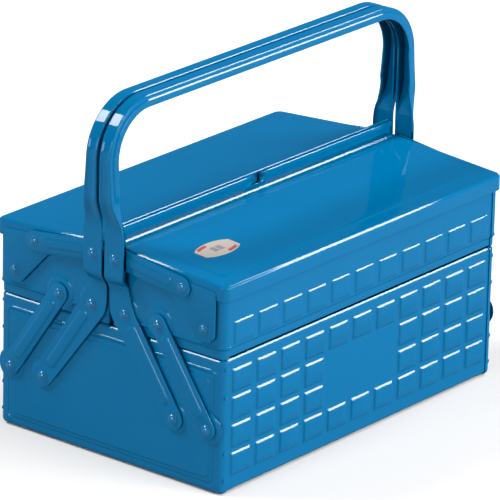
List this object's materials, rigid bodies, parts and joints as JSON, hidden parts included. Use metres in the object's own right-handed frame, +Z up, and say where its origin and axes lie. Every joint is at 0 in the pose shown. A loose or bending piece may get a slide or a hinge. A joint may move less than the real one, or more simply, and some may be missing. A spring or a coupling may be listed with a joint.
{
  "type": "cantilever tool box",
  "caption": "Blue enamelled steel tool box: twin cantilever trays with pitched lids that swing open on riveted links as the paired bail handles are parted.",
  "frame": {"origin": "on the floor under the middle of the closed box", "axes": "+X along the box, -Y the front with the label, +Z up"},
  "size_m": [0.3668, 0.2244, 0.285],
  "materials": {
    "blue_enamel": "gloss stove enamel",
    "rivet_enamel": "gloss stove enamel over steel rivets",
    "zinc_steel": "zinc plated",
    "label_print": "printed film"
  },
  "bodies": {
    "case": {"case_wrap": "blue_enamel", "case_end_left": "blue_enamel", "case_end_right": "blue_enamel", "case_pivot_rivets": "rivet_enamel"},
    "handle_front_bail": {"handle_front": "blue_enamel", "handle_front_rivets": "rivet_enamel"},
    "tray_front": {"tray_front_wrap": "blue_enamel", "tray_front_end_left": "blue_enamel", "tray_front_end_right": "blue_enamel", "tray_front_rivets": "rivet_enamel", "tray_front_spacers": "zinc_steel"},
    "lid_front": {"lid_front_panel": "blue_enamel", "lid_front_ear_left": "blue_enamel", "lid_front_ear_right": "blue_enamel", "lid_front_label": "label_print"},
    "link_front_left_body": {"link_front_left": "blue_enamel"},
    "lid_arm_front_left_body": {"lid_arm_front_left": "blue_enamel", "lid_arm_rivet_front_left": "rivet_enamel"},
    "link_front_right_body": {"link_front_right": "blue_enamel"},
    "lid_arm_front_right_body": {"lid_arm_front_right": "blue_enamel", "lid_arm_rivet_front_right": "rivet_enamel"},
    "handle_rear_bail": {"handle_rear": "blue_enamel", "handle_rear_rivets": "rivet_enamel"},
    "tray_rear": {"tray_rear_wrap": "blue_enamel", "tray_rear_end_left": "blue_enamel", "tray_rear_end_right": "blue_enamel", "tray_rear_rivets": "rivet_enamel", "tray_rear_spacers": "zinc_steel"},
    "lid_rear": {"lid_rear_panel": "blue_enamel", "lid_rear_ear_left": "blue_enamel", "lid_rear_ear_right": "blue_enamel"},
    "link_rear_left_body": {"link_rear_left": "blue_enamel"},
    "lid_arm_rear_left_body": {"lid_arm_rear_left": "blue_enamel", "lid_arm_rivet_rear_left": "rivet_enamel"},
    "link_rear_right_body": {"link_rear_right": "blue_enamel"},
    "lid_arm_rear_right_body": {"lid_arm_rear_right": "blue_enamel", "lid_arm_rivet_rear_right": "rivet_enamel"}
  },
  "joints": [
    {"name": "handle_front_hinge", "type": "hinge", "parent": "case", "child": "handle_front_bail", "pos_m": [0, -0.064, 0.0515], "axis": [1, 0, 0], "range_deg": [0, 60]},
    {"name": "tray_front_hinge", "type": "hinge", "parent": "handle_front_bail", "child": "tray_front", "pos_m": [0, -0.0162, 0.1222], "axis": [1, 0, 0], "range_deg": [-60, 0]},
    {"name": "lid_front_hinge", "type": "hinge", "parent": "tray_front", "child": "lid_front", "pos_m": [0, -0.0922, 0.1305], "axis": [1, 0, 0], "range_deg": [0, 76.2]},
    {"name": "link_front_left_hinge", "type": "hinge", "parent": "case", "child": "link_front_left_body", "pos_m": [0, -0.0962, 0.0515], "axis": [1, 0, 0], "range_deg": [0, 60]},
    {"name": "lid_arm_front_left_hinge", "type": "hinge", "parent": "handle_front_bail", "child": "lid_arm_front_left_body", "pos_m": [0, -0.0104, 0.1658], "axis": [1, 0, 0], "range_deg": [-75.6, 0]},
    {"name": "link_front_right_hinge", "type": "hinge", "parent": "case", "child": "link_front_right_body", "pos_m": [0, -0.0962, 0.0515], "axis": [1, 0, 0], "range_deg": [0, 60]},
    {"name": "lid_arm_front_right_hinge", "type": "hinge", "parent": "handle_front_bail", "child": "lid_arm_front_right_body", "pos_m": [0, -0.0104, 0.1658], "axis": [1, 0, 0], "range_deg": [-75.6, 0]},
    {"name": "handle_rear_hinge", "type": "hinge", "parent": "case", "child": "handle_rear_bail", "pos_m": [0, 0.064, 0.0515], "axis": [-1, 0, 0], "range_deg": [0, 60]},
    {"name": "tray_rear_hinge", "type": "hinge", "parent": "handle_rear_bail", "child": "tray_rear", "pos_m": [0, 0.0162, 0.1222], "axis": [-1, 0, 0], "range_deg": [-60, 0]},
    {"name": "lid_rear_hinge", "type": "hinge", "parent": "tray_rear", "child": "lid_rear", "pos_m": [0, 0.0922, 0.1305], "axis": [-1, 0, 0], "range_deg": [0, 76.2]},
    {"name": "link_rear_left_hinge", "type": "hinge", "parent": "case", "child": "link_rear_left_body", "pos_m": [0, 0.0962, 0.0515], "axis": [-1, 0, 0], "range_deg": [0, 60]},
    {"name": "lid_arm_rear_left_hinge", "type": "hinge", "parent": "handle_rear_bail", "child": "lid_arm_rear_left_body", "pos_m": [0, 0.0104, 0.1658], "axis": [-1, 0, 0], "range_deg": [-75.6, 0]},
    {"name": "link_rear_right_hinge", "type": "hinge", "parent": "case", "child": "link_rear_right_body", "pos_m": [0, 0.0962, 0.0515], "axis": [-1, 0, 0], "range_deg": [0, 60]},
    {"name": "lid_arm_rear_right_hinge", "type": "hinge", "parent": "handle_rear_bail", "child": "lid_arm_rear_right_body", "pos_m": [0, 0.0104, 0.1658], "axis": [-1, 0, 0], "range_deg": [-75.6, 0]}
  ],
  "couplings": [
    {"joint": "tray_front_hinge", "follows": "handle_front_hinge", "ratio": -1},
    {"joint": "lid_front_hinge", "follows": "handle_front_hinge", "ratio": 1.27},
    {"joint": "link_front_left_hinge", "follows": "handle_front_hinge", "ratio": 1},
    {"joint": "lid_arm_front_left_hinge", "follows": "handle_front_hinge", "ratio": -1.26},
    {"joint": "link_front_right_hinge", "follows": "handle_front_hinge", "ratio": 1},
    {"joint": "lid_arm_front_right_hinge", "follows": "handle_front_hinge", "ratio": -1.26},
    {"joint": "tray_rear_hinge", "follows": "handle_rear_hinge", "ratio": -1},
    {"joint": "lid_rear_hinge", "follows": "handle_rear_hinge", "ratio": 1.27},
    {"joint": "link_rear_left_hinge", "follows": "handle_rear_hinge", "ratio": 1},
    {"joint": "lid_arm_rear_left_hinge", "follows": "handle_rear_hinge", "ratio": -1.26},
    {"joint": "link_rear_right_hinge", "follows": "handle_rear_hinge", "ratio": 1},
    {"joint": "lid_arm_rear_right_hinge", "follows": "handle_rear_hinge", "ratio": -1.26}
  ]
}
